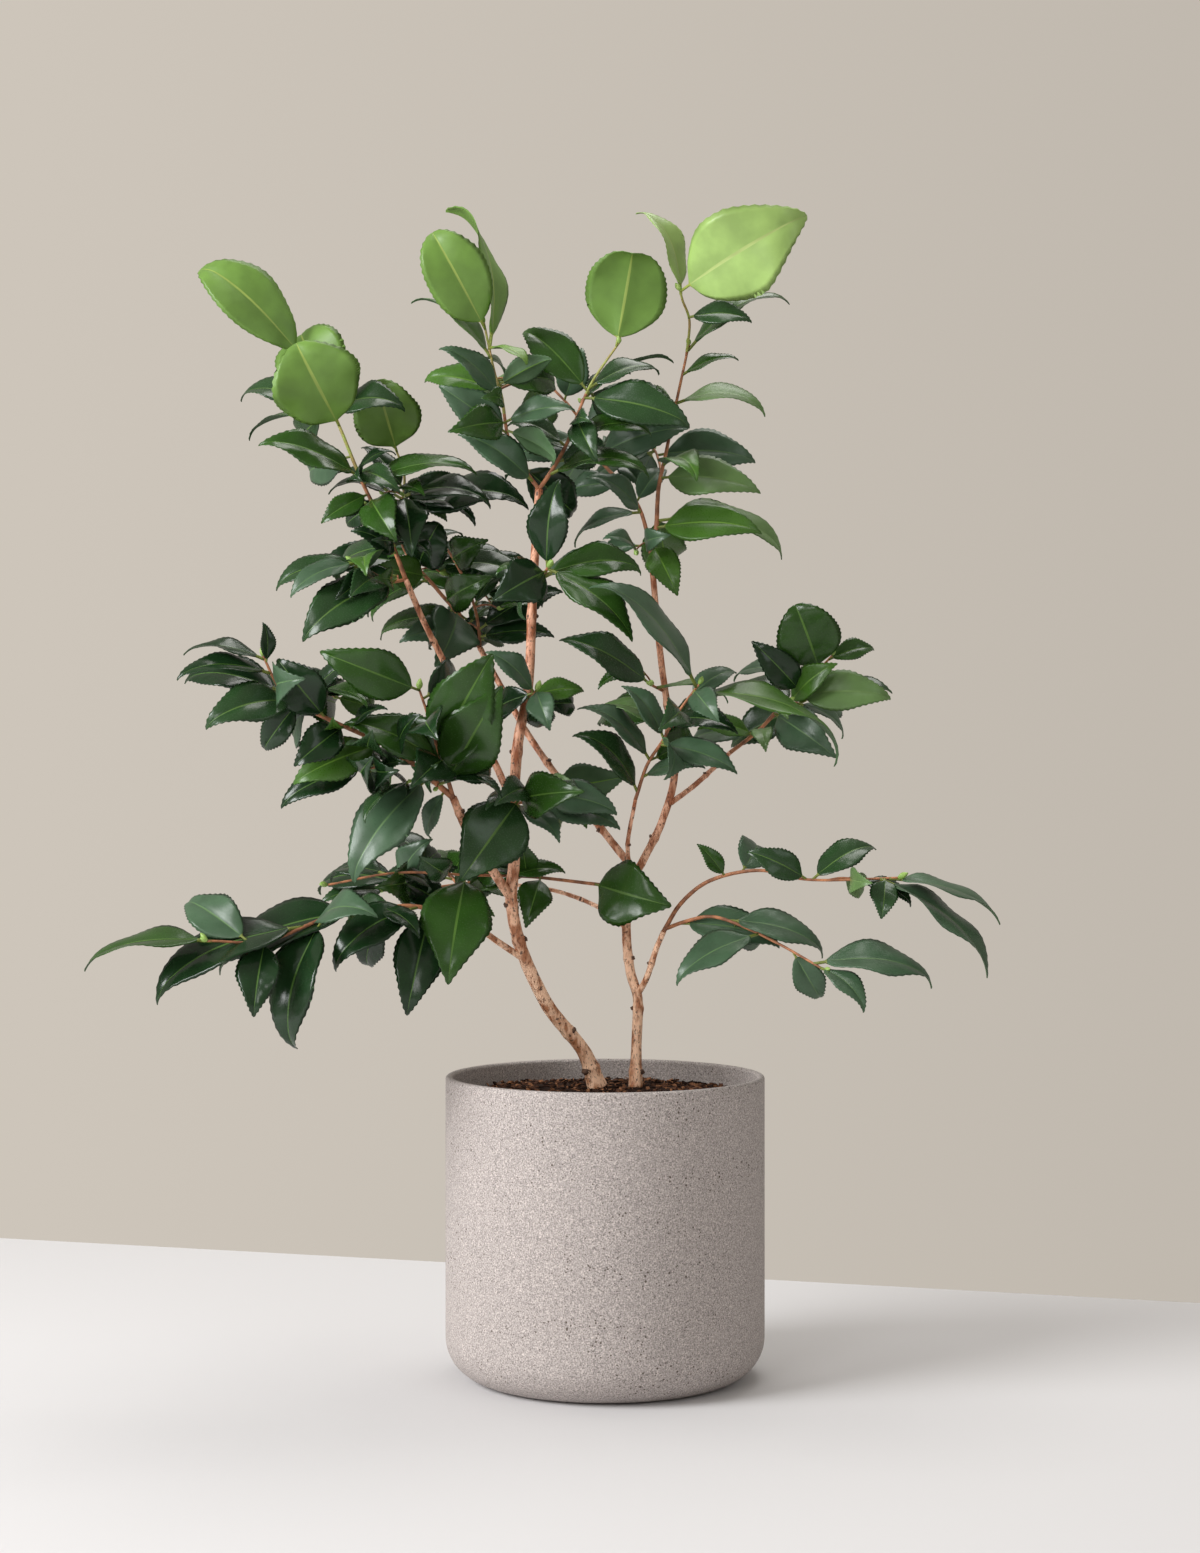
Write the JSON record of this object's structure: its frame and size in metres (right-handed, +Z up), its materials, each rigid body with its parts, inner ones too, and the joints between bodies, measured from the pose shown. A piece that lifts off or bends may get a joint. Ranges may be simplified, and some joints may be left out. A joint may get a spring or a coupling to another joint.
{
  "type": "potted camellia shrub",
  "caption": "Young evergreen camellia shrub on slim leaning stems, with open tiers of glossy leaves, in a round-footed cylindrical planter.",
  "frame": {"origin": "centre of the planter's flat underside", "axes": "+Z up along the planter's axis, +X to the right as seen from the front, +Y away from the front"},
  "size_m": [0.6978, 0.4005, 0.9209],
  "materials": {
    "pot": "fine-grained cast concrete, matt, warm grey",
    "soil": "dark brown bark and fibre compost, matt and loose",
    "bark": "smooth tan bark with pale patches and dark knots",
    "foliage": "leathery dark green leaves, glossy above and paler below"
  },
  "bodies": {
    "root": {"pot": "pot", "soil": "soil", "stem_left": "bark", "stem_right": "bark", "bough_low_left": "bark", "bough_left": "bark", "bough_upper_left": "bark", "bough_crossing": "bark", "bough_back_low": "bark", "bough_low_thin": "bark", "bough_right_low": "bark", "bough_right_mid": "bark", "bough_right_inner": "bark", "foliage_low_left": "foliage", "foliage_low_thin": "foliage", "foliage_back_low": "foliage", "foliage_left": "foliage", "foliage_left_trunk": "foliage", "foliage_centre_low": "foliage", "foliage_left_tuft": "foliage", "foliage_centre": "foliage", "foliage_upper_left": "foliage", "foliage_upper_left_side": "foliage", "foliage_back_left": "foliage", "foliage_back_centre": "foliage", "foliage_top_left": "foliage", "foliage_top_middle": "foliage", "foliage_upper_middle": "foliage", "foliage_right_crown": "foliage", "foliage_right_tuft": "foliage", "foliage_right_inner": "foliage", "foliage_right_mid": "foliage", "foliage_right_low": "foliage"}
  },
  "joints": []
}
